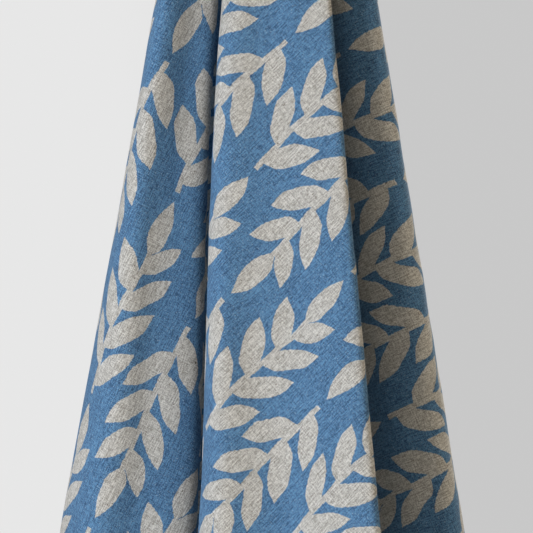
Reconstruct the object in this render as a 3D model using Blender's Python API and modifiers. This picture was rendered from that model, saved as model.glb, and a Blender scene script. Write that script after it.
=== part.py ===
"""A square cut of printed linen, hung by one corner.

All the folds run out from the hanging point, so the cloth lies on a cone: a point that is r from
the corner on the flat cloth hangs r below the hanging point, along one of the cone's straight
lines. The section of that cone is one wandering curve, as long as the corner is wide, and the
table FOLDS walks along it from the free edge behind the left fold to the one behind the right.

Metres, +Z up. The front faces -Y and the origin is the middle of the gathered top edge.
"""

import math

import bmesh
import bpy
import numpy as np

# --- Driving dimensions -----------------------------------------------------------------------

CUT_SIDE = 0.500  # the flat cloth is a square of this side
CORNER_ANGLE = 90.0  # degrees of flat cloth that the folds share out
THICKNESS = 0.0010
TOP_RADIUS = 0.055  # from the hanging point down to the gathered top edge
OPEN_ABOVE = 0.08  # down to here the section is the opened one
STEADY_ABOVE = 0.22  # here it is the high one
CHANGED_BELOW = 0.40  # from here down it is the low one

# --- Mesh ---------------------------------------------------------------------------------------

COLUMNS = 104  # across the folds
ROWS = 16  # down the cloth
SECTIONS = 13  # worked out from the opened section to the low one
SAMPLES_PER_FOLD = 16  # points on the section between two rows of FOLDS
TURN_SPREAD = 9  # samples over which a bend draws the columns closer
TURN_WEIGHT = 0.25  # how much a degree of bend draws them, against a degree of width
DEPTH_BETWEEN = (0.8, 1.6)  # the depth scale is looked for between these
DEPTH_HALVINGS = 30

# The section as seen from the hanging point, straight down being 0, 0. Sideways is degrees to the
# right of the middle and forward is degrees towards the front. Each fold has its place high up
# and its place low down.
FOLDS = [
    # fold, high sideways, high forward, low sideways, low forward
    ("left free edge", 0.6, -9.5, 0.6, -9.5),
    ("left flap, inner dip", -1.6, -8.2, -1.6, -8.2),
    ("left flap, inner crest", -4.1, -8.3, -4.1, -8.3),
    ("left flap, outer dip", -6.3, -6.3, -6.3, -6.3),
    ("left flap, outer crest", -8.5, -7.2, -8.5, -7.2),
    ("left side, back", -9.8, -5.3, -9.8, -5.3),
    ("left side, front", -9.95, -2.3, -10.1, -2.4),
    ("left ridge", -9.15, 0.2, -8.3, -0.05),
    ("left hollow", -7.6, -0.15, -6.7, -0.3),
    ("left rise", -6.2, -0.65, -5.3, -0.45),
    ("left brow", -4.65, -1.1, -3.85, -0.8),
    ("left pleat, mouth", -4.1, -2.3, -3.34, -2.15),
    ("left pleat, outer", -3.75, -4.6, -3.2, -4.6),
    ("left pleat, low", -2.0, -6.2, -2.0, -6.2),
    ("left pleat, turn", 0.3, -6.3, 0.3, -6.3),
    ("left pleat, return", 0.9, -4.7, 0.9, -4.7),
    ("left pleat, high", -1.0, -3.5, -1.0, -3.5),
    ("left pleat, inner", -2.6, -1.5, -1.95, -1.35),
    ("centre, tuck", -3.05, -0.2, -2.35, -0.2),
    ("centre, left edge", -4.08, 0.5, -3.28, 0.2),
    ("centre, left roll", -3.45, 2.4, -2.6, 2.55),
    ("centre, hollow", -1.4, 2.65, -0.85, 2.55),
    ("centre, slope", 1.0, 3.0, 1.3, 2.95),
    ("centre, plane", 2.6, 3.45, 3.0, 4.1),
    ("centre, crest", 3.75, 3.7, 4.2, 4.75),
    ("centre, brow", 4.68, 3.9, 4.8, 4.95),
    ("centre, right roll", 5.02, 3.8, 5.06, 4.85),
    ("centre, right edge", 5.12, 3.35, 5.12, 4.35),
    ("right pleat, mouth", 3.7, 1.7, 3.7, 1.9),
    ("right pleat, upper", 1.0, 1.1, 1.0, 1.2),
    ("right pleat, inner", -1.0, 0.65, -0.6, 0.5),
    ("right pleat, turn", -1.3, -0.7, -0.95, -0.7),
    ("right pleat, return", -0.2, -1.6, -0.2, -1.6),
    ("right pleat, lower", 1.8, -2.4, 1.8, -2.4),
    ("right pleat, trough", 3.6, -3.4, 3.6, -3.4),
    ("right fold, hidden", 5.3, -1.9, 5.3, -1.9),
    ("right fold, crest", 7.35, -0.42, 7.4, -0.38),
    ("right fold, edge", 8.85, -0.5, 8.85, -0.2),
    ("right side, front", 9.4, -2.1, 9.4, -2.0),
    ("right side, back", 9.2, -4.7, 9.2, -4.7),
    ("right flap, outer crest", 7.9, -6.4, 7.9, -6.4),
    ("right flap, outer dip", 5.7, -5.6, 5.7, -5.6),
    ("right flap, inner dip", 4.2, -6.0, 4.2, -6.0),
    ("right flap, inner crest", 3.4, -8.2, 3.4, -8.2),
    ("right free edge", 2.1, -9.5, 2.1, -9.5),
]

# The tightest bends open out towards the gathered top, where the same degrees are far narrower.
OPEN_AT_TOP = {
    # fold: top sideways, top forward
    "centre, tuck": (-3.2, 0.3),
    "centre, left edge": (-4.15, 1.1),
    "centre, brow": (4.3, 3.6),
    "centre, right roll": (4.95, 3.25),
    "centre, right edge": (5.15, 2.4),
}

LINEN_BLUE = (0.13, 0.24, 0.38, 1.0)
LINEN_ROUGHNESS = 0.9


# --- The section --------------------------------------------------------------------------------


def smooth_curve(points):
    """Points along the natural cubic spline through the given ones."""
    gaps = np.sqrt(np.linalg.norm(np.diff(points, axis=0), axis=1))
    count = len(points)
    matrix = np.eye(count)
    change = np.zeros((count, 2))
    for i in range(1, count - 1):
        before, after = gaps[i - 1], gaps[i]
        matrix[i, i - 1 : i + 2] = before, 2 * (before + after), after
        slope_after = (points[i + 1] - points[i]) / after
        slope_before = (points[i] - points[i - 1]) / before
        change[i] = 6 * (slope_after - slope_before)
    bend = np.linalg.solve(matrix, change)

    curve = []
    for i, gap in enumerate(gaps):
        for step in range(SAMPLES_PER_FOLD):
            b = gap * step / SAMPLES_PER_FOLD
            a = gap - b
            bent = (bend[i] * a**3 + bend[i + 1] * b**3) / (6 * gap)
            start = (points[i] / gap - bend[i] * gap / 6) * a
            end = (points[i + 1] / gap - bend[i + 1] * gap / 6) * b
            curve.append(bent + start + end)
    curve.append(points[-1])
    return np.array(curve)


def directions(curve):
    """The unit vectors from the hanging point along the section."""
    angles = np.radians(curve)
    lean = np.hypot(angles[:, 0], angles[:, 1])
    scale = np.sinc(lean / math.pi)
    return np.stack([scale * angles[:, 0], -scale * angles[:, 1], -np.cos(lean)], axis=1)


def widths_along(rays):
    """Degrees of cloth from the left free edge to each ray."""
    chords = np.linalg.norm(np.diff(rays, axis=0), axis=1)
    return np.concatenate([[0], np.cumsum(np.degrees(2 * np.arcsin(chords / 2)))])


def section(blend):
    """Rays along the fold curve: -1 is the opened section, 0 the high one and 1 the low one.

    Its depth is scaled until it takes up the whole corner.
    """
    opened = np.array([OPEN_AT_TOP.get(row[0], row[1:3]) for row in FOLDS])
    high = np.array([row[1:3] for row in FOLDS])
    low = np.array([row[3:5] for row in FOLDS])
    rows = high + max(blend, 0.0) * (low - high) + max(-blend, 0.0) * (opened - high)

    shallow, deep = DEPTH_BETWEEN
    for _ in range(DEPTH_HALVINGS):
        depth = (shallow + deep) / 2
        rays = directions(smooth_curve(rows * (1, depth)))
        if widths_along(rays)[-1] < CORNER_ANGLE:
            shallow = depth
        else:
            deep = depth
    return rays


def soft_step(value, start, end):
    """0 before start, 1 after end, and smooth between them."""
    along = np.clip((value - start) / (end - start), 0, 1)
    return along * along * (3 - 2 * along)


def blend_at(radius):
    """Which section the cloth has at this radius, as section() numbers them."""
    opened = 1 - soft_step(radius, OPEN_ABOVE, STEADY_ABOVE)
    return soft_step(radius, STEADY_ABOVE, CHANGED_BELOW) - opened


def column_angles():
    """Flat angle of each column: closer together where the section bends most."""
    rays = section(0.5)
    width = widths_along(rays)
    along = np.diff(rays, axis=0)
    along /= np.linalg.norm(along, axis=1)[:, None]
    cosines = np.clip((along[1:] * along[:-1]).sum(axis=1), -1, 1)
    turn = np.concatenate([[0], np.degrees(np.arccos(cosines))])
    turn = np.convolve(turn, np.ones(TURN_SPREAD) / TURN_SPREAD, mode="same")
    effort = np.concatenate([[0], np.cumsum(np.diff(width) + TURN_WEIGHT * turn)])
    angles = np.interp(np.linspace(0, effort[-1], COLUMNS + 1), effort, width)
    angles *= CORNER_ANGLE / angles[-1]
    lowest_corner = CORNER_ANGLE / 2
    angles[np.abs(angles - lowest_corner).argmin()] = lowest_corner
    return angles


def hem_radius(angle):
    """How far from the corner the square ends, at this flat angle."""
    return CUT_SIDE / math.cos(math.radians(min(angle, CORNER_ANGLE - angle)))


# --- The cloth ----------------------------------------------------------------------------------


def hung_places(angles):
    """Where each column and row of the flat cloth hangs, as an array of columns by rows."""
    blends = np.linspace(-1, 1, SECTIONS)
    rays = np.zeros((SECTIONS, len(angles), 3))
    for i, blend in enumerate(blends):
        found = section(blend)
        width = widths_along(found)
        width *= CORNER_ANGLE / width[-1]
        for axis in range(3):
            rays[i, :, axis] = np.interp(angles, width, found[:, axis])

    places = np.zeros((len(angles), ROWS + 1, 3))
    for column, angle in enumerate(angles):
        steps = np.linspace(0, 1, ROWS + 1)
        radii = TOP_RADIUS * (hem_radius(angle) / TOP_RADIUS) ** steps
        for axis in range(3):
            places[column, :, axis] = np.interp(blend_at(radii), blends, rays[:, column, axis])
        places[column] *= (radii / np.linalg.norm(places[column], axis=1))[:, None]
    return places + (0, 0, TOP_RADIUS)


def make_cloth(collection):
    """A flat grid, moved point by point to where the cloth hangs, then given its thickness."""
    bpy.ops.mesh.primitive_grid_add(x_subdivisions=COLUMNS, y_subdivisions=ROWS, size=1)
    cloth = bpy.context.object
    cloth.name = "linen_cloth"
    cloth.data.name = "linen_cloth"
    places = hung_places(column_angles())
    for vertex in cloth.data.vertices:
        column = round((vertex.co.x + 0.5) * COLUMNS)
        row = round((0.5 - vertex.co.y) * ROWS)
        vertex.co = places[column, row]

    sheet = bmesh.new()
    sheet.from_mesh(cloth.data)
    bmesh.ops.recalc_face_normals(sheet, faces=sheet.faces)
    sheet.to_mesh(cloth.data)
    sheet.free()
    cloth.data.shade_smooth()

    solid = cloth.modifiers.new("thickness", "SOLIDIFY")
    solid.thickness = THICKNESS
    solid.offset = 0.0
    cloth.data.materials.append(linen_material())
    for owner in cloth.users_collection:
        owner.objects.unlink(cloth)
    collection.objects.link(cloth)
    return cloth


def linen_material():
    material = bpy.data.materials.new("printed_linen")
    material.use_nodes = True
    shader = material.node_tree.nodes["Principled BSDF"]
    shader.inputs["Base Color"].default_value = LINEN_BLUE
    shader.inputs["Roughness"].default_value = LINEN_ROUGHNESS
    shader.inputs["Metallic"].default_value = 0.0
    return material


def main():
    for old in list(bpy.data.objects):
        bpy.data.objects.remove(old)
    collection = bpy.data.collections.new("printed_linen_fabric")
    bpy.context.scene.collection.children.link(collection)
    make_cloth(collection)


main()
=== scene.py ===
# %% [markdown]
# # A square of printed linen, hung by one corner
#
# The real object is one square of plain-woven linen, half a metre each way, printed with leaf
# sprigs in blue. Held up by one corner it falls in long folds that all run out from that corner.
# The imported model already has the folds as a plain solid. This lesson rebuilds the same folds as
# a finer sheet, gives it its creases, and then weaves and prints it with shader nodes.
#
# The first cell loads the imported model. Its box is kept, because the finished cloth has to fill
# the same space.

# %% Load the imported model
import math

import bpy
import numpy as np
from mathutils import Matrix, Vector, noise


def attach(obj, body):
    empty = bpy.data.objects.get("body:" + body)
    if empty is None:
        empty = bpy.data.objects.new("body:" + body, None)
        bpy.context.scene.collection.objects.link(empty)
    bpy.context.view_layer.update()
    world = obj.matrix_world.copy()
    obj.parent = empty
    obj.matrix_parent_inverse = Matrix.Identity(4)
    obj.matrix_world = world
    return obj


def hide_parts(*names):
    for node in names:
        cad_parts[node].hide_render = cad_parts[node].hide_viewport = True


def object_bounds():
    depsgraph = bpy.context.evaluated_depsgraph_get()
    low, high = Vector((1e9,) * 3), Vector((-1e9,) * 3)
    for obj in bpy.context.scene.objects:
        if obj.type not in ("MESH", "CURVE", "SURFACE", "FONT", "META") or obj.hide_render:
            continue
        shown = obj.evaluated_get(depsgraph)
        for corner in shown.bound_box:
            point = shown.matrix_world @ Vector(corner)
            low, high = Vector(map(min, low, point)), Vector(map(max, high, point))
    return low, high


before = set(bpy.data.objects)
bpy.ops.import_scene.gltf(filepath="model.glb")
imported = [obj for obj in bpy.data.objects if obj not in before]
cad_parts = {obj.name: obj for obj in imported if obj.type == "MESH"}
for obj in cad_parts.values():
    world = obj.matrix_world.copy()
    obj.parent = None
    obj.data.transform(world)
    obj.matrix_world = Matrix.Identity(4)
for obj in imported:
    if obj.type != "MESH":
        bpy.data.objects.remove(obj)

CAD_BOX = [list(corner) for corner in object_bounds()]
print("the packed cloth reaches from", CAD_BOX[0], "to", CAD_BOX[1])

# %% [markdown]
# ## The sizes of the flat cloth
#
# A hanging cloth is easiest to think about while it is still flat on the table. Every point of
# the square has a distance from the hanging corner and an angle from one free edge, which runs
# from 0 to 90 degrees. Hanging the cloth keeps both, so these two numbers are the only address
# that a point of the cloth needs. All lengths are in metres.

# %% Sizes
CUT_SIDE = 0.500  # the square as it was cut
CORNER_ANGLE = 90.0  # degrees of flat cloth around the hanging corner
HANGING_POINT = 0.055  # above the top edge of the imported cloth
CLOTH_THICKNESS = 0.0007
TIP_RADIUS = 0.028  # where the gathered tip ends, from the hanging point
GATHER_RADIUS = 0.085  # from here up the folds are drawn in towards the tip
TIP_WIDTH = 0.35  # how wide the folds still are at the tip, against the cone's
OPEN_ABOVE = 0.08  # down to this radius the section is the opened one of the top
STEADY_ABOVE = 0.22  # at this radius it is the high one
CHANGED_BELOW = 0.40  # from here down it is the low one

print("the cloth is", CUT_SIDE, "m square, so its lowest corner hangs",
      round(CUT_SIDE * 2**0.5, 3), "m down")

# %% [markdown]
# ## The folds as a section
#
# Cut straight across, the hanging cloth shows one wandering line. Because every fold starts at
# the hanging point, the same line, only larger, comes back at each height. So the folds are
# written once, as the line seen from the hanging point: degrees to the right, and degrees
# towards the front. The table walks along the cloth from the free edge behind the left fold,
# round the three front folds and the pleats between them, to the free edge behind the right.
#
# Real folds lean and open a little on their way down, so each row has two places, one high up
# and one low down. Near the hanging point the layers crowd together and can't bend as tightly,
# so five of the rows have a third place there, in a small table of their own.

# %% The fold table
FOLDS = [
    # fold, high up: sideways, forward, low down: sideways, forward
    ("left free edge", 0.6, -9.5, 0.6, -9.5),
    ("left flap, inner dip", -1.6, -8.2, -1.6, -8.2),
    ("left flap, inner crest", -4.1, -8.3, -4.1, -8.3),
    ("left flap, outer dip", -6.3, -6.3, -6.3, -6.3),
    ("left flap, outer crest", -8.5, -7.2, -8.5, -7.2),
    ("left side, back", -9.8, -5.3, -9.8, -5.3),
    ("left side, front", -9.95, -2.3, -10.1, -2.4),
    ("left ridge", -9.15, 0.2, -8.3, -0.05),
    ("left hollow", -7.6, -0.15, -6.7, -0.3),
    ("left rise", -6.2, -0.65, -5.3, -0.45),
    ("left brow", -4.65, -1.1, -3.85, -0.8),
    ("left pleat, mouth", -4.1, -2.3, -3.34, -2.15),
    ("left pleat, outer", -3.75, -4.6, -3.2, -4.6),
    ("left pleat, low", -2.0, -6.2, -2.0, -6.2),
    ("left pleat, turn", 0.3, -6.3, 0.3, -6.3),
    ("left pleat, return", 0.9, -4.7, 0.9, -4.7),
    ("left pleat, high", -1.0, -3.5, -1.0, -3.5),
    ("left pleat, inner", -2.6, -1.5, -1.95, -1.35),
    ("centre, tuck", -3.05, -0.2, -2.35, -0.2),
    ("centre, left edge", -4.08, 0.5, -3.28, 0.2),
    ("centre, left roll", -3.45, 2.4, -2.6, 2.55),
    ("centre, hollow", -1.4, 2.65, -0.85, 2.55),
    ("centre, slope", 1.0, 3.0, 1.3, 2.95),
    ("centre, plane", 2.6, 3.45, 3.0, 4.1),
    ("centre, crest", 3.75, 3.7, 4.2, 4.75),
    ("centre, brow", 4.68, 3.9, 4.8, 4.95),
    ("centre, right roll", 5.02, 3.8, 5.06, 4.85),
    ("centre, right edge", 5.12, 3.35, 5.12, 4.35),
    ("right pleat, mouth", 3.7, 1.7, 3.7, 1.9),
    ("right pleat, upper", 1.0, 1.1, 1.0, 1.2),
    ("right pleat, inner", -1.0, 0.65, -0.6, 0.5),
    ("right pleat, turn", -1.3, -0.7, -0.95, -0.7),
    ("right pleat, return", -0.2, -1.6, -0.2, -1.6),
    ("right pleat, lower", 1.8, -2.4, 1.8, -2.4),
    ("right pleat, trough", 3.6, -3.4, 3.6, -3.4),
    ("right fold, hidden", 5.3, -1.9, 5.3, -1.9),
    ("right fold, crest", 7.35, -0.42, 7.4, -0.38),
    ("right fold, edge", 8.85, -0.5, 8.85, -0.2),
    ("right side, front", 9.4, -2.1, 9.4, -2.0),
    ("right side, back", 9.2, -4.7, 9.2, -4.7),
    ("right flap, outer crest", 7.9, -6.4, 7.9, -6.4),
    ("right flap, outer dip", 5.7, -5.6, 5.7, -5.6),
    ("right flap, inner dip", 4.2, -6.0, 4.2, -6.0),
    ("right flap, inner crest", 3.4, -8.2, 3.4, -8.2),
    ("right free edge", 2.1, -9.5, 2.1, -9.5),
]
OPEN_AT_TOP = {
    # fold: its place at the gathered top, sideways, forward
    "centre, tuck": (-3.2, 0.3),
    "centre, left edge": (-4.15, 1.1),
    "centre, brow": (4.3, 3.6),
    "centre, right roll": (4.95, 3.25),
    "centre, right edge": (5.15, 2.4),
}
print(len(FOLDS), "rows in the fold table, of which", len(OPEN_AT_TOP), "open out at the top")

# %% [markdown]
# ## A smooth line through the table
#
# Cloth never bends at a point, so the table's rows are joined by a cubic spline, the curve that
# a thin springy strip takes when it is pinned at those places. It could also be drawn as a
# Bezier curve by hand, but then the next step, which stretches the line a little and measures it
# again, would have to be done by eye.

# %% The smooth section line
SAMPLES_PER_FOLD = 28


def smooth_line(points):
    """Points along the natural cubic spline through the given ones."""
    gaps = np.sqrt(np.linalg.norm(np.diff(points, axis=0), axis=1))
    count = len(points)
    matrix = np.eye(count)
    change = np.zeros((count, 2))
    for i in range(1, count - 1):
        before, after = gaps[i - 1], gaps[i]
        matrix[i, i - 1 : i + 2] = before, 2 * (before + after), after
        slope_after = (points[i + 1] - points[i]) / after
        slope_before = (points[i] - points[i - 1]) / before
        change[i] = 6 * (slope_after - slope_before)
    bend = np.linalg.solve(matrix, change)

    line = []
    for i, gap in enumerate(gaps):
        b = (gap * np.arange(SAMPLES_PER_FOLD) / SAMPLES_PER_FOLD)[:, None]
        a = gap - b
        bent = (bend[i] * a**3 + bend[i + 1] * b**3) / (6 * gap)
        start = (points[i] / gap - bend[i] * gap / 6) * a
        end = (points[i + 1] / gap - bend[i + 1] * gap / 6) * b
        line.append(bent + start + end)
    return np.concatenate(line + [points[-1:]])


def rays_from(line):
    """The unit vectors from the hanging point that a line in degrees stands for."""
    angles = np.radians(line)
    lean = np.hypot(angles[:, 0], angles[:, 1])
    scale = np.sinc(lean / math.pi)
    return np.stack([scale * angles[:, 0], -scale * angles[:, 1], -np.cos(lean)], axis=1)


def widths_along(rays):
    """Degrees of cloth from the left free edge to each ray."""
    chords = np.linalg.norm(np.diff(rays, axis=0), axis=1)
    return np.concatenate([[0], np.cumsum(np.degrees(2 * np.arcsin(chords / 2)))])


# %% [markdown]
# ## Folds that use up exactly the whole corner
#
# Linen hardly stretches. If the line were shorter than the cloth's 90 degrees, the print would
# be squeezed, and if it were longer, the print would be pulled. So the folds are made a little
# deeper or shallower until the line is 90 degrees long. Halving the interval again and again
# finds that depth in a few steps.

# %% Fit the section to the cloth
SHALLOWEST, DEEPEST = 0.8, 1.6
HALVINGS = 30


def section(blend):
    """Rays along the folds: -1 is the section at the top, 0 the high one and 1 the low one."""
    top = np.array([OPEN_AT_TOP.get(row[0], row[1:3]) for row in FOLDS])
    high = np.array([row[1:3] for row in FOLDS])
    low = np.array([row[3:5] for row in FOLDS])
    rows = high + max(blend, 0.0) * (low - high) + max(-blend, 0.0) * (top - high)

    shallow, deep = SHALLOWEST, DEEPEST
    for _ in range(HALVINGS):
        depth = (shallow + deep) / 2
        rays = rays_from(smooth_line(rows * (1, depth)))
        if widths_along(rays)[-1] < CORNER_ANGLE:
            shallow = depth
        else:
            deep = depth
    return rays


for blend in (-1.0, 0.0, 1.0):
    print("section", blend, "holds", round(widths_along(section(blend))[-1], 3), "degrees of cloth")

# %% [markdown]
# ## Columns where the cloth bends most
#
# The mesh has columns that run down the cloth from the hanging point. A flat stretch needs few
# of them and a tight roll needs many, so each column is placed after an equal share of width
# and of turning together.

# %% Place the columns
COLUMNS = 440
ROWS = 104
TURN_SPREAD = 25  # samples over which a bend draws the columns closer
TURN_WEIGHT = 0.12  # how much a degree of bend draws them, against a degree of width
HALFWAY = 0.5  # the columns suit the section halfway between the high and the low one


def column_angles():
    """Flat angle of each column, from one free edge to the other."""
    rays = section(HALFWAY)
    width = widths_along(rays)
    along = np.diff(rays, axis=0)
    along /= np.linalg.norm(along, axis=1)[:, None]
    cosines = np.clip((along[1:] * along[:-1]).sum(axis=1), -1, 1)
    turn = np.concatenate([[0], np.degrees(np.arccos(cosines))])
    turn = np.convolve(turn, np.ones(TURN_SPREAD) / TURN_SPREAD, mode="same")
    effort = np.concatenate([[0], np.cumsum(np.diff(width) + TURN_WEIGHT * turn)])
    angles = np.interp(np.linspace(0, effort[-1], COLUMNS + 1), effort, width)
    angles *= CORNER_ANGLE / angles[-1]
    lowest_corner = CORNER_ANGLE / 2
    angles[np.abs(angles - lowest_corner).argmin()] = lowest_corner
    return angles


ANGLES = column_angles()
print("columns are", round(np.diff(ANGLES).min(), 3), "to",
      round(np.diff(ANGLES).max(), 3), "degrees apart")

# %% [markdown]
# ## The radii of the rows
#
# The rows cross the columns at growing distances from the corner. Each column ends at the cut
# edge of the square, which is nearest along the free edges and farthest at the opposite corner.
# Rows that grew in proportion would be too sparse at the hem, and even ones too sparse at the
# tip, so each row lies between the two.

# %% Place the rows
EVEN_SHARE = 0.6  # how much of the even spacing goes into each row
GROWING_SHARE = 0.4  # and how much of the growing one


def hem_radius(angle):
    """How far from the corner the square ends, at this flat angle."""
    return CUT_SIDE / math.cos(math.radians(min(angle, CORNER_ANGLE - angle)))


def row_radii():
    """Radius of each column and row, as an array of columns by rows."""
    steps = np.linspace(0, 1, ROWS + 1)
    radii = []
    for angle in ANGLES:
        edge = hem_radius(angle)
        even = TIP_RADIUS + (edge - TIP_RADIUS) * steps
        growing = TIP_RADIUS * (edge / TIP_RADIUS) ** steps
        radii.append(EVEN_SHARE * even + GROWING_SHARE * growing)
    return np.array(radii)


RADII = row_radii()
print("rows reach from", TIP_RADIUS, "to", round(RADII.max(), 4), "m from the hanging point")

# %% [markdown]
# ## Hang the cloth
#
# Now each address on the flat cloth gets its place in the air: along its ray, as far from the
# hanging point as it is from the corner. On the way down the rays pass smoothly from the opened
# section of the top to the high one, and from the high one to the low one. Near the tip the
# folds are drawn in, as they are where a pin holds them.

# %% From the flat cloth to the hanging one
SECTIONS = 13  # from the top one to the low one, which the rows in between are mixed from


def soft_step(value, start, end):
    """0 before start, 1 after end, and smooth between them."""
    along = np.clip((value - start) / (end - start), 0, 1)
    return along * along * (3 - 2 * along)


def hang():
    """Where each column and row hangs, as an array of columns by rows by three."""
    blends = np.linspace(-1, 1, SECTIONS)
    rays = np.zeros((SECTIONS, len(ANGLES), 3))
    for i, blend in enumerate(blends):
        found = section(blend)
        width = widths_along(found)
        width *= CORNER_ANGLE / width[-1]
        for axis in range(3):
            rays[i, :, axis] = np.interp(ANGLES, width, found[:, axis])

    places = np.zeros((COLUMNS + 1, ROWS + 1, 3))
    for column in range(COLUMNS + 1):
        mix = soft_step(RADII[column], STEADY_ABOVE, CHANGED_BELOW)
        mix += soft_step(RADII[column], OPEN_ABOVE, STEADY_ABOVE) - 1
        for axis in range(3):
            places[column, :, axis] = np.interp(mix, blends, rays[:, column, axis])
    places *= (RADII / np.linalg.norm(places, axis=2))[:, :, None]
    gathered = TIP_WIDTH + (1 - TIP_WIDTH) * soft_step(RADII, TIP_RADIUS, GATHER_RADIUS)
    places[:, :, 0] *= gathered
    places[:, :, 1] *= gathered
    places[:, :, 2] += HANGING_POINT
    return places


places = hang()
print("the cloth hangs from", places[:, :, 2].max().round(4),
      "down to", places[:, :, 2].min().round(4))

# %% [markdown]
# ## Creases, one by one
#
# The section gives the big folds. What makes cloth look like cloth is what lies on them: a soft
# trough here, a low ridge there, none of them quite straight. Each row of this table is one such
# crease, from one address on the flat cloth to another. It could be brushed on in sculpt mode,
# but a table keeps every crease where it can be found and changed. Angles are in degrees, radii
# and half widths in metres and heights in millimetres, and a minus makes a trough.
#
# The two rows of the left pleat aren't seen themselves. They draw its hidden wall back, so that
# less light is thrown out of the pleat and the line beside the centre fold stays dark. Between
# the creases the cloth isn't flat either, so low waves from a noise lie over all of it.

# %% The crease table
CREASES = [
    # crease, start angle, start radius, end angle, end radius, half width, height
    ("left ridge, soft", 17.6, 0.20, 18.4, 0.36, 0.008, 0.5),
    ("left fold, upper pull", 20.6, 0.10, 19.6, 0.25, 0.0035, 0.45),
    ("left fold, inner pull", 22.4, 0.16, 21.9, 0.31, 0.0032, -0.35),
    ("left hollow, dent", 20.2, 0.27, 21.2, 0.37, 0.0045, -0.45),
    ("left rise, low ridge", 22.0, 0.33, 22.7, 0.45, 0.0045, 0.45),
    ("left ridge, lower dent", 17.3, 0.38, 18.6, 0.47, 0.0060, -0.40),
    ("left fold, cross pucker", 18.2, 0.315, 22.2, 0.335, 0.0050, 0.25),
    ("left fold, lower pucker", 17.6, 0.405, 21.6, 0.435, 0.0060, 0.30),
    ("left pleat, upper sink", 25.4, 0.08, 25.4, 0.27, 0.0032, -1.6),
    ("left pleat, lower sink", 25.5, 0.2, 25.6, 0.5, 0.0055, -3.4),
    ("centre, first pull", 45.2, 0.09, 45.9, 0.24, 0.0030, 0.40),
    ("centre, second pull", 47.6, 0.08, 48.6, 0.21, 0.0028, -0.35),
    ("centre, third pull", 50.3, 0.09, 50.0, 0.26, 0.0030, 0.35),
    ("centre hollow, upper dent", 44.6, 0.27, 45.8, 0.35, 0.0050, -0.55),
    ("centre hollow, lower dent", 45.4, 0.35, 44.7, 0.44, 0.0055, -0.45),
    ("centre hollow, tail", 46.0, 0.33, 48.4, 0.39, 0.0045, -0.35),
    ("centre slope, low ridge", 47.0, 0.25, 47.8, 0.36, 0.0060, 0.45),
    ("centre plane, dent", 49.8, 0.28, 50.4, 0.37, 0.0070, -0.40),
    ("centre plane, lower ridge", 48.8, 0.38, 50.2, 0.47, 0.0070, 0.50),
    ("centre plane, side dent", 51.0, 0.34, 51.7, 0.44, 0.0050, -0.35),
    ("centre, cross pucker", 45.0, 0.245, 50.5, 0.262, 0.0050, 0.30),
    ("centre, lower pucker", 44.6, 0.395, 49.0, 0.420, 0.0060, -0.30),
    ("right fold, upper pull", 71.4, 0.12, 71.9, 0.27, 0.0035, 0.45),
    ("right fold, rim pull", 73.6, 0.20, 73.2, 0.33, 0.0032, -0.35),
    ("right fold, low ridge", 71.2, 0.30, 72.4, 0.42, 0.0050, 0.45),
    ("right fold, rim dent", 73.9, 0.33, 73.4, 0.45, 0.0045, -0.40),
    ("right fold, cross pucker", 70.4, 0.335, 73.8, 0.315, 0.0050, 0.30),
    ("right fold, lower pucker", 70.6, 0.430, 74.0, 0.405, 0.0060, 0.30),
    ("left flap, long dent", 5.2, 0.22, 6.4, 0.44, 0.0070, -0.50),
    ("left flap, ridge", 9.6, 0.18, 8.6, 0.42, 0.0060, 0.50),
    ("right flap, long dent", 84.6, 0.20, 83.4, 0.43, 0.0070, -0.50),
    ("right flap, ridge", 80.4, 0.18, 81.4, 0.42, 0.0060, 0.50),
]

MILLIMETRE = 0.001
GROWS_OVER = (-0.15, 0.25)  # the part of its length over which a crease grows
FADES_OVER = (0.75, 1.15)  # and over which it dies away
SOFT_WAVE = 0.30  # millimetres, the height of the waves that no table lists
SOFT_WAVE_ALONG = 0.034  # metres along the threads that start at the left free edge
SOFT_WAVE_ACROSS = 0.013
SOFT_WAVE_PATTERN = 4.0  # which of the noise's many patterns the waves take


def flat_places():
    """Where each column and row lies on the flat cloth."""
    turns = np.radians(ANGLES)[:, None]
    return RADII * np.cos(turns), RADII * np.sin(turns)


def outward(places):
    """The unit vector that leaves the printed face at each column and row."""
    across = np.gradient(places, axis=0)
    down = np.gradient(places, axis=1)
    out = np.cross(down, across)
    return out / np.linalg.norm(out, axis=2)[:, :, None]


def flat_place(angle, radius):
    """Where one address lies on the flat cloth."""
    turn = math.radians(angle)
    return radius * np.array([math.cos(turn), math.sin(turn)])


def crease_heights():
    """Height of all creases together at each column and row, in metres."""
    flat_x, flat_y = flat_places()
    total = np.zeros_like(RADII)
    for name, angle_a, radius_a, angle_b, radius_b, half_width, height in CREASES:
        start = flat_place(angle_a, radius_a)
        run = flat_place(angle_b, radius_b) - start
        length = np.linalg.norm(run)
        run = run / length
        along = ((flat_x - start[0]) * run[0] + (flat_y - start[1]) * run[1]) / length
        aside = (flat_x - start[0]) * run[1] - (flat_y - start[1]) * run[0]
        fade = soft_step(along, *GROWS_OVER) * (1 - soft_step(along, *FADES_OVER))
        total += height * MILLIMETRE * fade * np.exp(-((aside / half_width) ** 2))
    return total


def wave_heights():
    """Low, soft waves over the whole cloth, longer along one thread direction."""
    flat_x, flat_y = flat_places()
    heights = [noise.noise((x / SOFT_WAVE_ALONG, y / SOFT_WAVE_ACROSS, SOFT_WAVE_PATTERN))
               for x, y in zip(flat_x.ravel(), flat_y.ravel())]
    fade = soft_step(RADII, GATHER_RADIUS, 2 * GATHER_RADIUS)
    return SOFT_WAVE * MILLIMETRE * fade * np.array(heights).reshape(RADII.shape)


places += (crease_heights() + wave_heights())[:, :, None] * outward(places)
print(len(CREASES), "creases added by hand, and waves", SOFT_WAVE, "mm high between them")

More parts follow.
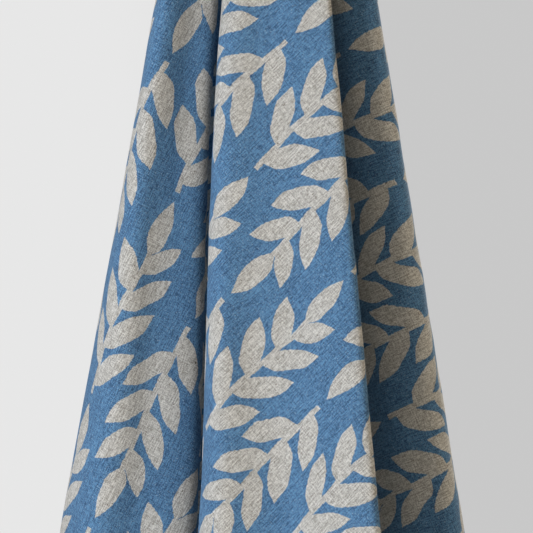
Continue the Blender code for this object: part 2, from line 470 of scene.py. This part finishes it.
# %% [markdown]
# ## The sheet itself
#
# The sheet starts as a flat grid, one square for each step of column and row. Its UV map is the
# flat cloth, so a pattern that reads the UV map lies on the linen as it did on the printing
# table, and bends with every fold. Then each point of the grid moves to where it hangs.

# %% Make the sheet


def deselect_all():
    for item in bpy.context.selected_objects:
        item.select_set(False)


def make_sheet(name, places):
    """A grid whose points hang where places says and whose UV map is the flat square."""
    deselect_all()
    bpy.ops.mesh.primitive_grid_add(x_subdivisions=COLUMNS, y_subdivisions=ROWS, size=1)
    sheet = bpy.context.object
    sheet.name = name
    sheet.data.name = name
    mesh = sheet.data
    start = np.zeros(len(mesh.vertices) * 3)
    mesh.vertices.foreach_get("co", start)
    start = start.reshape(-1, 3)
    # The grid is 1 wide with its middle at 0, and its first row is the one farthest up.
    column = np.rint((start[:, 0] + 0.5) * COLUMNS).astype(int)
    row = np.rint((0.5 - start[:, 1]) * ROWS).astype(int)
    mesh.vertices.foreach_set("co", places[column, row].ravel())

    corner_vertex = np.zeros(len(mesh.loops), dtype=int)
    mesh.loops.foreach_get("vertex_index", corner_vertex)
    angle = np.radians(ANGLES[column])
    radius = RADII[column, row]
    flat = np.stack([radius * np.cos(angle), radius * np.sin(angle)], axis=1) / CUT_SIDE
    mesh.uv_layers[0].name = "flat_cloth"
    mesh.uv_layers[0].data.foreach_set("uv", flat[corner_vertex].ravel())
    mesh.update()
    mesh.shade_smooth()
    return sheet


cloth = make_sheet("printed_linen_cloth", places)
middle = cloth.data.polygons[len(cloth.data.polygons) // 2]
print("the sheet has", len(cloth.data.polygons), "faces, and the middle one looks towards",
      tuple(round(v, 2) for v in middle.normal))

# %% [markdown]
# ## Nodes, a few helpers
#
# The print and the weave are arithmetic on the flat cloth's coordinates, so most of the nodes
# are Math nodes. Two helpers keep the cells below readable: one feeds a number or another
# node's output into a socket, the other adds one Math node and hands back its result.

# %% Helpers for arithmetic


def feed(tree, value, socket):
    if isinstance(value, bpy.types.NodeSocket):
        tree.links.new(value, socket)
    else:
        socket.default_value = value


def calc(tree, operation, *values):
    """One Math node."""
    step = tree.nodes.new("ShaderNodeMath")
    step.operation = operation
    for value, socket in zip(values, step.inputs):
        feed(tree, value, socket)
    return step.outputs[0]


def weighted(tree, *pairs):
    """The sum of values times their weights."""
    total = 0.0
    for value, weight in pairs:
        total = calc(tree, "MULTIPLY_ADD", value, weight, total)
    return total


def ramp(tree, value, low, high, to_low=0.0, to_high=1.0):
    """One Map Range node, clamped, which turns low..high into to_low..to_high."""
    step = tree.nodes.new("ShaderNodeMapRange")
    step.interpolation_type = "SMOOTHSTEP"
    for socket, number in zip(("Value", "From Min", "From Max", "To Min", "To Max"),
                              (value, low, high, to_low, to_high)):
        feed(tree, number, step.inputs[socket])
    return step.outputs["Result"]


def tint(tree, share, colour_a, colour_b):
    """One Mix node between two colours."""
    step = tree.nodes.new("ShaderNodeMix")
    step.data_type = "RGBA"
    feed(tree, share, step.inputs["Factor"])
    feed(tree, colour_a, step.inputs["A"])
    feed(tree, colour_b, step.inputs["B"])
    return step.outputs["Result"]


print("helpers for arithmetic ready")

# %% [markdown]
# ## Noise that lies on the flat cloth
#
# Whatever is uneven in real linen belongs to the cloth and bends with it, so every noise reads
# the UV map, which is the flat cloth. One helper is told how many of its cells go into a
# millimetre, for what is finer than that. The other is told the cells' size, for what is larger.
# Each noise has its own seed, so that no two of them fall in step.

# %% Helpers for noise


def flat_millimetres(tree):
    """The flat cloth's two coordinates, in millimetres along one free edge and the other."""
    reader = tree.nodes.new("ShaderNodeUVMap")
    reader.uv_map = "flat_cloth"
    parts = tree.nodes.new("ShaderNodeSeparateXYZ")
    tree.links.new(reader.outputs["UV"], parts.inputs["Vector"])
    side = CUT_SIDE / MILLIMETRE
    return (calc(tree, "MULTIPLY", parts.outputs["X"], side),
            calc(tree, "MULTIPLY", parts.outputs["Y"], side))


def cloud(tree, across, along, detail, seed):
    """Noise that reads two coordinates, about 0.5 on average."""
    place = tree.nodes.new("ShaderNodeCombineXYZ")
    feed(tree, across, place.inputs["X"])
    feed(tree, along, place.inputs["Y"])
    place.inputs["Z"].default_value = seed
    step = tree.nodes.new("ShaderNodeTexNoise")
    step.inputs["Scale"].default_value = 1.0
    step.inputs["Detail"].default_value = detail
    feed(tree, place.outputs["Vector"], step.inputs["Vector"])
    return step.outputs["Fac"]


def fine_cloud(tree, a, b, per_a, per_b, detail, seed):
    """Noise with per_a and per_b cells to the millimetre along the two coordinates."""
    return cloud(tree, calc(tree, "MULTIPLY", a, per_a), calc(tree, "MULTIPLY", b, per_b),
                 detail, seed)


def wide_cloud(tree, a, b, size_a, size_b, detail, seed):
    """Noise whose cells are size_a by size_b millimetres."""
    return cloud(tree, calc(tree, "DIVIDE", a, size_a), calc(tree, "DIVIDE", b, size_b),
                 detail, seed)


def off_centre(tree, value):
    """Noise moved from around 0.5 to around 0."""
    return calc(tree, "SUBTRACT", value, 0.5)


print("helpers for noise ready")

# %% [markdown]
# ## The print: one leaf sprig, in half drop
#
# Printed linen is often covered with a single sprig that turns up in columns, each column half
# a repeat lower than the last, so that no straight gaps show. Here every other column also
# grows the other way. The ground is printed blue and the sprigs are left as bare linen.
#
# A sprig is arithmetic too. Folding the coordinates brings every repeat onto one sprig. Along
# its stem the leaves come at equal steps, first on one side and then the other, so the nearest
# leaf is found by rounding, and a leaf is the place where the distance from its middle line is
# less than its half width, which grows from nothing to the full width and back.

# %% Sizes of the sprig
COLUMN_WIDTH = 23.5  # millimetres, as all lengths of the print
REPEAT = 75.0
STEM_FOOT = -37.0
STEM_HALF_WIDTH = 0.9
STEM_SWAY = 0.7
STEM_INTO_LEAF = 2.0  # how far the stem runs on under the end leaf
LEAF_START = -34.0
LEAF_STEP = 14.0
LEAF_ANGLE = 34.0
LEAF_LENGTH = 21.5
LEAF_HALF_WIDTH = 4.7
LEAF_ROUNDING = 1.4  # over which a leaf's side turns into its widest part
END_LEAF_LENGTH = 20.5
END_LEAF_HALF_WIDTH = 3.9
END_LEAF_BACK = 0.55  # steps by which the end leaf starts before the next side leaf would
LEAVES_A_SIDE = 4
LARGEST_LEAF = 1.0  # counted from 0
SIZE_LOST = 0.055  # one leaf away from the largest, and four times that two leaves away
LEAF_GAP = 0.25  # half of the blue left between two neighbours
INK_CREEP = 0.22  # how far the ink creeps in over a leaf's edge
BELLY_AT_FOOT = 5.0  # a leaf is fullest towards its foot
BELLY_LOST = 2.0  # how much less full it is at its tip

print("a sprig every", COLUMN_WIDTH, "by", REPEAT, "mm")

# %% [markdown]
# ## Leaf and stem
#
# The first function is one leaf: a number that is above 0 inside it and below 0 outside. The
# second finds the sprig, the side of the stem and the leaf that a point belongs to, and asks the
# first one about that leaf. The largest of the answers for the side leaf, the end leaf and the
# stem says how deep inside the sprig the point lies.

# %% Draw the sprig


def almond(tree, along, aside, length, half_width, widest):
    """How far inside a leaf that starts at along = 0 each point is, below 0 outside it."""
    share = calc(tree, "MAXIMUM", calc(tree, "DIVIDE", along, length), 0.0)
    share = calc(tree, "MINIMUM", share, 1.0)
    belly = calc(tree, "MULTIPLY", share, calc(tree, "SUBTRACT", 1.0, share))
    fuller_low = calc(tree, "MULTIPLY_ADD", share, -BELLY_LOST, BELLY_AT_FOOT)
    edge = calc(tree, "MULTIPLY", calc(tree, "MULTIPLY", belly, fuller_low), half_width)
    edge = calc(tree, "SMOOTH_MIN", edge, widest, LEAF_ROUNDING)
    edge = calc(tree, "SUBTRACT", edge, INK_CREEP)
    return calc(tree, "SUBTRACT", edge, calc(tree, "ABSOLUTE", aside))


def sprig_inside(tree, across, along):
    """How far inside a sprig each point is, in millimetres: above 0 is bare linen."""
    # Every second column is half a repeat lower and grows the other way.
    column = calc(tree, "FLOOR", calc(tree, "DIVIDE", across, COLUMN_WIDTH))
    odd = calc(tree, "PINGPONG", column, 1.0)
    centre = calc(tree, "MULTIPLY", calc(tree, "ADD", column, 0.5), COLUMN_WIDTH)
    x = calc(tree, "SUBTRACT", across, centre)
    dropped = calc(tree, "MULTIPLY_ADD", odd, REPEAT / 2, along)
    turned = calc(tree, "MULTIPLY", dropped, calc(tree, "MULTIPLY_ADD", odd, -2.0, 1.0))
    nearest = calc(tree, "ROUND", calc(tree, "DIVIDE", turned, REPEAT))
    y = calc(tree, "MULTIPLY_ADD", nearest, -REPEAT, turned)
    sway = calc(tree, "SINE", calc(tree, "MULTIPLY", y, 2 * math.pi / REPEAT))
    x = calc(tree, "MULTIPLY_ADD", sway, -STEM_SWAY, x)
    left = calc(tree, "LESS_THAN", x, 0.0)
    aside = calc(tree, "ABSOLUTE", x)

    # The nearest leaf on this side of the stem, and this point as its leaf sees it.
    lean = math.radians(LEAF_ANGLE)
    up = calc(tree, "MULTIPLY_ADD", left, -LEAF_STEP / 2, y)
    up = calc(tree, "SUBTRACT", up, LEAF_START)
    foot = calc(tree, "MULTIPLY_ADD", aside, -1.0 / math.tan(lean), up)
    number = calc(tree, "ROUND", calc(tree, "DIVIDE", foot, LEAF_STEP))
    last = calc(tree, "SUBTRACT", LEAVES_A_SIDE - 1.0, left)
    number = calc(tree, "MINIMUM", calc(tree, "MAXIMUM", number, 0.0), last)
    up = calc(tree, "MULTIPLY_ADD", number, -LEAF_STEP, up)
    run = calc(tree, "MULTIPLY", up, math.cos(lean))
    run = calc(tree, "MULTIPLY_ADD", aside, math.sin(lean), run)
    off = calc(tree, "MULTIPLY", up, -math.sin(lean))
    off = calc(tree, "MULTIPLY_ADD", aside, math.cos(lean), off)

    # The second pair of leaves is the largest.
    place = calc(tree, "MULTIPLY_ADD", left, 0.5, number)
    from_largest = calc(tree, "SUBTRACT", place, LARGEST_LEAF)
    size = calc(tree, "MULTIPLY", from_largest, from_largest)
    size = calc(tree, "MULTIPLY_ADD", size, -SIZE_LOST, 1.0)
    widest = LEAF_STEP * math.sin(lean) / 2 - LEAF_GAP
    leaf = almond(tree, run, off, calc(tree, "MULTIPLY", size, LEAF_LENGTH),
                  calc(tree, "MULTIPLY", size, LEAF_HALF_WIDTH), widest)

    # The leaf at the end of the stem, and the stem.
    stem_top = LEAF_START + (LEAVES_A_SIDE - END_LEAF_BACK) * LEAF_STEP
    end_leaf = almond(tree, calc(tree, "SUBTRACT", y, stem_top), x, END_LEAF_LENGTH,
                      END_LEAF_HALF_WIDTH, END_LEAF_HALF_WIDTH)
    stem_ends = calc(tree, "MINIMUM", calc(tree, "SUBTRACT", stem_top + STEM_INTO_LEAF, y),
                     calc(tree, "SUBTRACT", y, STEM_FOOT))
    stem = calc(tree, "MINIMUM", calc(tree, "SUBTRACT", STEM_HALF_WIDTH, aside), stem_ends)
    return calc(tree, "MAXIMUM", calc(tree, "MAXIMUM", leaf, end_leaf), stem)


print("a sprig has", 2 * LEAVES_A_SIDE - 1, "side leaves and one at its end")

# %% [markdown]
# ## The weave
#
# Linen is plain weave, one thread over and one under. The flax is uneven: every thread has its
# own tone and gets thicker and thinner along its length. So each thread direction has its own
# long, narrow noise, and a checker of the threads says which of the two lies on top.
#
# The weave gives back two numbers for each point: its tone, about 0 on average, which will
# choose between a pale and a dark colour, and its height, for the bump.

# %% Weave the linen
THREAD_PITCH = 0.83  # millimetres from one thread to the next
THREAD_WANDER = 1.6  # millimetres
CROSSING = 0.35  # how suddenly one thread goes under the other
LONG_STREAK = (0.09, 2.1)  # cells to the millimetre, along the thread and across it
SLUB = (0.45, 2.5)
LONG_STREAK_WEIGHT = 0.8
SLUB_WEIGHT = 1.5
TONE_OFFSET = 0.03
CROWN_HEIGHT = 0.45  # how much the round of the threads counts in the bump, against the tone


def thread_tone(tree, along, across, seed):
    """Streaks that run along one thread direction: long and thin, and short and thin."""
    long_streak = fine_cloud(tree, along, across, *LONG_STREAK, 1.0, seed)
    slub = fine_cloud(tree, along, across, *SLUB, 1.0, seed + 2.0)
    return weighted(tree, (off_centre(tree, long_streak), LONG_STREAK_WEIGHT),
                    (off_centre(tree, slub), SLUB_WEIGHT))


def thread_wave(tree, place, nudge):
    """A wave that is 0 between two threads and 1 or -1 on their backs."""
    place = weighted(tree, (place, 1.0), (nudge, THREAD_WANDER))
    return calc(tree, "SINE", calc(tree, "MULTIPLY", place, math.pi / THREAD_PITCH))


def weave(tree, p, q):
    """Tone and height of the plain weave at p and q millimetres along the two free edges."""
    wave_p = thread_wave(tree, p, fine_cloud(tree, p, q, 0.55, 0.11, 0.0, 51.0))
    wave_q = thread_wave(tree, q, fine_cloud(tree, p, q, 0.11, 0.55, 0.0, 57.0))
    back_p = calc(tree, "ABSOLUTE", wave_p)
    back_q = calc(tree, "ABSOLUTE", wave_q)

    # Which thread is on top, and the small holes where four threads meet, darkened in the tone as
    # painted shade.
    over = ramp(tree, calc(tree, "MULTIPLY", wave_p, wave_q), -CROSSING, CROSSING)
    under = calc(tree, "SUBTRACT", 1.0, over)
    painted_hole_shade = calc(tree, "MULTIPLY", calc(tree, "SUBTRACT", 1.0, back_p),
                calc(tree, "SUBTRACT", 1.0, back_q))

    along_p = thread_tone(tree, p, q, 3.0)
    along_q = thread_tone(tree, q, p, 13.0)
    fine = fine_cloud(tree, p, q, 3.0, 3.0, 1.0, 21.0)
    broad = wide_cloud(tree, p, q, 7.0, 7.0, 2.0, 27.0)
    # The holes make the tone darker: painted shade in the gaps of the weave.
    tone = weighted(tree, (along_p, 1.1), (along_q, 0.75), (off_centre(tree, fine), 2.0),
                    (off_centre(tree, broad), 0.15), (off_centre(tree, over), 0.06),
                    (painted_hole_shade, -0.20))
    tone = calc(tree, "ADD", tone, TONE_OFFSET)

    crown = calc(tree, "ADD", calc(tree, "MULTIPLY", back_q, over),
                 calc(tree, "MULTIPLY", back_p, under))
    return tone, weighted(tree, (crown, CROWN_HEIGHT), (tone, 1.0))


print("the weave has", round(10 / THREAD_PITCH, 1), "threads to the centimetre")

# %% [markdown]
# ## Flax and ink
#
# Raw flax is a warm grey, paler and darker from thread to thread, with a few brown specks of
# husk. Blue ink sinks into it, so its own pale and dark follow the same threads. It is a little
# patchy, with pale specks at the smallest scale: partly ink rubbed off where a thread stands
# proud, partly painted glints of light on the threads. Where the ink ends, its edge wanders a
# little, and follows the threads at the smallest scale.

# %% Colour the linen and print it
LINEN_PALE = (0.765, 0.735, 0.677, 1.0)
LINEN_DARK = (0.315, 0.290, 0.252, 1.0)
LINEN_SPREAD = 0.64  # the tone, above or below 0, at which the palest or darkest is reached
SPECK = (0.12, 0.085, 0.055, 1.0)
SPECKS_FROM, SPECKS_TO = 0.80, 0.86  # only the peaks of a noise are specks
INK_PALE = (0.143, 0.314, 0.519, 1.0)
INK_DARK = (0.035, 0.086, 0.179, 1.0)
INK_SPREAD = 0.66
INK_PATCHES = 0.4
# Pale specks in the ink: partly rubbed-off ink, partly painted glints.
INK_WORN_AND_GLINT = (0.36, 0.50, 0.62, 1.0)
WORN_AND_GLINT_FROM, WORN_AND_GLINT_TO = 0.64, 0.82
WORN_AND_GLINT_SHARE = 0.7
EDGE_WANDER = 2.4
EDGE_STEPS = 0.5
EDGE_SOFTNESS = 0.14  # millimetres


def bare_linen(tree, p, q, tone):
    flax = tint(tree, ramp(tree, tone, -LINEN_SPREAD, LINEN_SPREAD), LINEN_DARK, LINEN_PALE)
    specks = wide_cloud(tree, p, q, 1.3, 0.6, 0.0, 19.0)
    return tint(tree, ramp(tree, specks, SPECKS_FROM, SPECKS_TO), flax, SPECK)


def blue_ink(tree, p, q, tone):
    patchy = wide_cloud(tree, p, q, 14.0, 14.0, 3.0, 31.0)
    body = weighted(tree, (tone, 1.0), (off_centre(tree, patchy), INK_PATCHES))
    blue = tint(tree, ramp(tree, body, -INK_SPREAD, INK_SPREAD), INK_DARK, INK_PALE)
    # Pale specks: ink rubbed off on the threads, and painted glints.
    worn_and_glint = fine_cloud(tree, p, q, 1.7, 2.6, 0.0, 47.0)
    return tint(tree, ramp(tree, worn_and_glint, WORN_AND_GLINT_FROM, WORN_AND_GLINT_TO, 0.0, WORN_AND_GLINT_SHARE), blue, INK_WORN_AND_GLINT)


def ink_share(tree, p, q, print_share):
    """How much ink each point has: print_share on the ground and none on the sprigs."""
    wander_p = off_centre(tree, wide_cloud(tree, p, q, 13.0, 13.0, 1.0, 23.0))
    wander_q = off_centre(tree, wide_cloud(tree, p, q, 13.0, 13.0, 1.0, 43.0))
    steps_p = off_centre(tree, fine_cloud(tree, p, q, 0.5, 1.3, 0.0, 29.0))
    steps_q = off_centre(tree, fine_cloud(tree, p, q, 1.3, 0.5, 0.0, 37.0))
    across = weighted(tree, (q, 1.0), (wander_q, EDGE_WANDER), (steps_q, EDGE_STEPS))
    along = weighted(tree, (p, -1.0), (wander_p, EDGE_WANDER), (steps_p, EDGE_STEPS))
    inside = sprig_inside(tree, across, along)
    return ramp(tree, inside, -EDGE_SOFTNESS, EDGE_SOFTNESS, print_share, 0.0)


print("two colours, of flax and of ink, each from a pale to a dark one")

# %% [markdown]
# ## The two faces
#
# Printed linen has a face and a reverse. Both are the same weave, and on the reverse only a
# little of the ink shows through. So one function makes both materials, and only the share of
# ink differs. Linen is matt, with the faint sheen of its loose fibres, and the bump is low: the
# threads are there to be felt more than seen.

# %% The two materials
SHOWS_THROUGH = 0.22  # of the ink, on the reverse
ROUGHNESS = 0.88
SPECULAR = 0.25
SHEEN = 0.08
SHEEN_ROUGHNESS = 0.5
BUMP_STRENGTH = 0.25
BUMP_DEPTH = 0.00018  # metres


def cloth_material(name, print_share):
    """Plain-woven linen with print_share of the ink."""
    material = bpy.data.materials.new(name)
    material.use_nodes = True
    tree = material.node_tree
    shader = tree.nodes["Principled BSDF"]
    p, q = flat_millimetres(tree)
    tone, height = weave(tree, p, q)
    colour = tint(tree, ink_share(tree, p, q, print_share), bare_linen(tree, p, q, tone),
                  blue_ink(tree, p, q, tone))
    tree.links.new(colour, shader.inputs["Base Color"])
    shader.inputs["Roughness"].default_value = ROUGHNESS
    shader.inputs["Specular IOR Level"].default_value = SPECULAR
    shader.inputs["Sheen Weight"].default_value = SHEEN
    shader.inputs["Sheen Roughness"].default_value = SHEEN_ROUGHNESS

    bump = tree.nodes.new("ShaderNodeBump")
    bump.inputs["Strength"].default_value = BUMP_STRENGTH
    bump.inputs["Distance"].default_value = BUMP_DEPTH
    tree.links.new(height, bump.inputs["Height"])
    tree.links.new(bump.outputs["Normal"], shader.inputs["Normal"])
    return material


cloth.data.materials.append(cloth_material("linen_printed_face", 1.0))
cloth.data.materials.append(cloth_material("linen_reverse", SHOWS_THROUGH))
print("materials:", [m.name for m in cloth.data.materials])

# %% [markdown]
# ## Thickness
#
# A Solidify modifier gives the sheet its two faces and its cut edge. The printed face is the
# outer one, so the reverse and the edge take the second material.

# %% Thicken the sheet


def apply_modifier(piece, modifier):
    deselect_all()
    piece.select_set(True)
    bpy.context.view_layer.objects.active = piece
    bpy.ops.object.modifier_apply(modifier=modifier.name)


solid = cloth.modifiers.new("thickness", "SOLIDIFY")
solid.thickness = CLOTH_THICKNESS
solid.offset = 0.0
solid.material_offset = 1
solid.material_offset_rim = 1
apply_modifier(cloth, solid)
print("with its thickness the cloth has", len(cloth.data.polygons), "faces")

# %% [markdown]
# ## Floor
#
# The cloth hangs free in the air above a wide, round, pale floor, which is only there for the
# picture. It is one circle with a face, and isn't a piece of the object.

# %% The floor
FLOOR_DROP = 0.35  # below the lowest corner
FLOOR_RADIUS = 1.6
FLOOR_SIDES = 96
FLOOR_PAINT = (0.82, 0.82, 0.81, 1.0)
FLOOR_ROUGHNESS = 0.9

deselect_all()
floor_height = CAD_BOX[0][2] - FLOOR_DROP
bpy.ops.mesh.primitive_circle_add(vertices=FLOOR_SIDES, radius=FLOOR_RADIUS, fill_type="NGON",
                                  location=(0, 0, floor_height))
floor = bpy.context.object
floor.name = "studio_floor"
paint = bpy.data.materials.new("studio_floor_paint")
paint.use_nodes = True
paint.node_tree.nodes["Principled BSDF"].inputs["Base Color"].default_value = FLOOR_PAINT
paint.node_tree.nodes["Principled BSDF"].inputs["Roughness"].default_value = FLOOR_ROUGHNESS
floor.data.materials.append(paint)
print("the floor is", FLOOR_DROP, "m below the cloth")

# %% [markdown]
# ## Light
#
# The folds are read from their shading, so one side of every fold has to be darker than the
# other. One strong, cool light from the left is the window. A weaker, warm one from the right
# stands for what the room throws back, a small one from the front fills the deepest shade, and
# one from behind is for the reverse. All four are wide squares, because small lights would cut
# hard shadows into the linen.

# %% The lights
MIDDLE = (-0.0012, 0.0, -0.2505)  # the point on the cloth that lights and camera look at
LIGHT_DISTANCE = 2.4
LIGHT_SIZE = 1.1
LIGHTS = [
    # light, degrees to the right of the front, degrees up, watts, colour
    ("window_light", -50, 8, 47, (0.95, 1.0, 1.08)),
    ("bounce_light", 62, 10, 13, (1.0, 0.87, 0.67)),
    ("front_light", 20, 0, 5.3, (1.0, 0.93, 0.80)),
    ("back_light", 160, 25, 36, (1.0, 0.98, 0.95)),
]


def aim(thing, target):
    """Turns a camera or light to look at a point."""
    towards = Vector(target) - thing.location
    thing.rotation_euler = towards.to_track_quat("-Z", "Y").to_euler()


def soft_light(name, degrees_right, degrees_up, watts, colour):
    """A square area light, placed by its direction as seen from the cloth; 0 is the front."""
    data = bpy.data.lights.new(name, "AREA")
    data.size = LIGHT_SIZE
    data.energy = watts
    data.color = colour
    light = bpy.data.objects.new(name, data)
    bpy.context.scene.collection.objects.link(light)
    side, up = math.radians(degrees_right), math.radians(degrees_up)
    light.location = Vector(MIDDLE) + LIGHT_DISTANCE * Vector(
        (math.cos(up) * math.sin(side), -math.cos(up) * math.cos(side), math.sin(up)))
    aim(light, MIDDLE)


for row in LIGHTS:
    soft_light(*row)
print(len(LIGHTS), "lights, each", LIGHT_SIZE, "m wide and", LIGHT_DISTANCE, "m away")

# %% [markdown]
# ## The room
#
# The world stands for the walls of the room. What the camera sees of it is a grey with painted
# light and shade: paler at the left, as a wall lit by the window, and darker at the right, as the
# wall in the shade beside the cloth. What lights the cloth is another one, bright behind the cloth
# and almost black in front of it, so that the shade in the folds stays deep. A Light Path node
# keeps the two apart. The Standard view shows the colours as they are, where the usual one would
# soften the blue.

# %% The room
# What the camera sees: painted light on the left, painted shade on the right.
BACKDROP_LEFT_PAINTED_LIGHT = (0.80, 0.80, 0.80, 1.0)
BACKDROP_RIGHT_PAINTED_SHADE = (0.58, 0.58, 0.58, 1.0)
BACKDROP_CHANGES = (-0.055, 0.045)  # sideways, as a share of the way to the side
ROOM_IN_FRONT = (0.015, 0.014, 0.012, 1.0)
ROOM_BEHIND = (0.45, 0.44, 0.415, 1.0)
ROOM_CHANGES = (-0.1, 0.8)  # from the front to the back

world = bpy.data.worlds.new("pale_room")
bpy.context.scene.world = world
world.use_nodes = True
room = world.node_tree
direction = room.nodes.new("ShaderNodeTexCoord").outputs["Generated"]
split = room.nodes.new("ShaderNodeSeparateXYZ")
room.links.new(direction, split.inputs["Vector"])
seen = tint(room, ramp(room, split.outputs["X"], *BACKDROP_CHANGES), BACKDROP_LEFT_PAINTED_LIGHT, BACKDROP_RIGHT_PAINTED_SHADE)
lighting = tint(room, ramp(room, split.outputs["Y"], *ROOM_CHANGES), ROOM_IN_FRONT, ROOM_BEHIND)
camera_ray = room.nodes.new("ShaderNodeLightPath").outputs["Is Camera Ray"]
room.links.new(tint(room, camera_ray, lighting, seen), room.nodes["Background"].inputs["Color"])
bpy.context.scene.view_settings.view_transform = "Standard"
print("the room is", len(room.nodes), "nodes")

# %% [markdown]
# ## Camera
#
# The camera looks straight at the front of the folds, from about a metre away, and takes in only
# the middle of them. The lens follows from how much of the cloth it should see from there.

# %% The camera
CAMERA_DISTANCE = 0.95
HALF_VIEW = 0.0888  # metres from the middle of the view to its side
SENSOR_WIDTH = 36  # millimetres
FARTHEST_SEEN = 50

camera_data = bpy.data.cameras.new("camera")
camera_data.sensor_width = SENSOR_WIDTH
camera_data.lens = SENSOR_WIDTH / 2 * CAMERA_DISTANCE / HALF_VIEW
camera_data.clip_end = FARTHEST_SEEN
camera = bpy.data.objects.new("camera", camera_data)
bpy.context.scene.collection.objects.link(camera)
camera.location = (MIDDLE[0], -CAMERA_DISTANCE, MIDDLE[2])
aim(camera, MIDDLE)
bpy.context.scene.camera = camera
print("the camera sees", round(2 * HALF_VIEW, 4), "m of the cloth, through a lens of",
      round(camera_data.lens), "mm")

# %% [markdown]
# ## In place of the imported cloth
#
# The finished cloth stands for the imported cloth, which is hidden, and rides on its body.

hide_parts("linen_cloth")
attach(cloth, "root")
